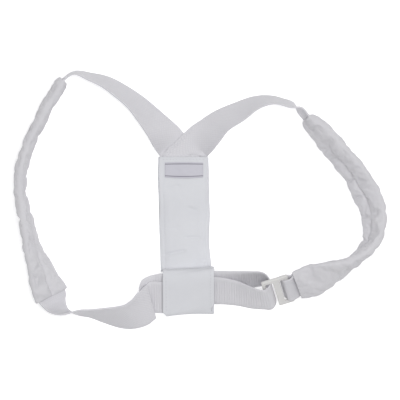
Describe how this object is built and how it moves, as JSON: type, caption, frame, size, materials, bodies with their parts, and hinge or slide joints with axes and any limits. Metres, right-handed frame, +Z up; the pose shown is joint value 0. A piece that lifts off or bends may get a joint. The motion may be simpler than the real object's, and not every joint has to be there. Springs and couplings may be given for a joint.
{
  "type": "posture corrector brace",
  "caption": "White figure-eight posture brace lying flat, with padded shoulder straps, a padded spine panel, a ribbed elastic band through a keeper, and a plastic hook.",
  "frame": {"origin": "centre of the spine panel's back face, on the table", "axes": "+Y up the spine towards the yoke, +X to the strap with the hook, +Z up from the table"},
  "size_m": [0.4285, 0.2978, 0.0461],
  "materials": {
    "panel_fabric": "soft brushed knit",
    "webbing": "fine diagonal weave, slight sheen",
    "pad_cover": "soft quilted knit",
    "elastic": "ribbed elastic, slight sheen",
    "buckle_plastic": "satin moulded",
    "label": "woven satin"
  },
  "bodies": {
    "root": {"spine_panel": "panel_fabric", "keeper_flap": "panel_fabric", "shoulder_strap_left": "webbing", "shoulder_strap_right": "webbing", "shoulder_pad_left": "pad_cover", "shoulder_pad_right": "pad_cover", "elastic_loop": "elastic", "hook_buckle": "buckle_plastic", "label": "label"}
  },
  "joints": []
}
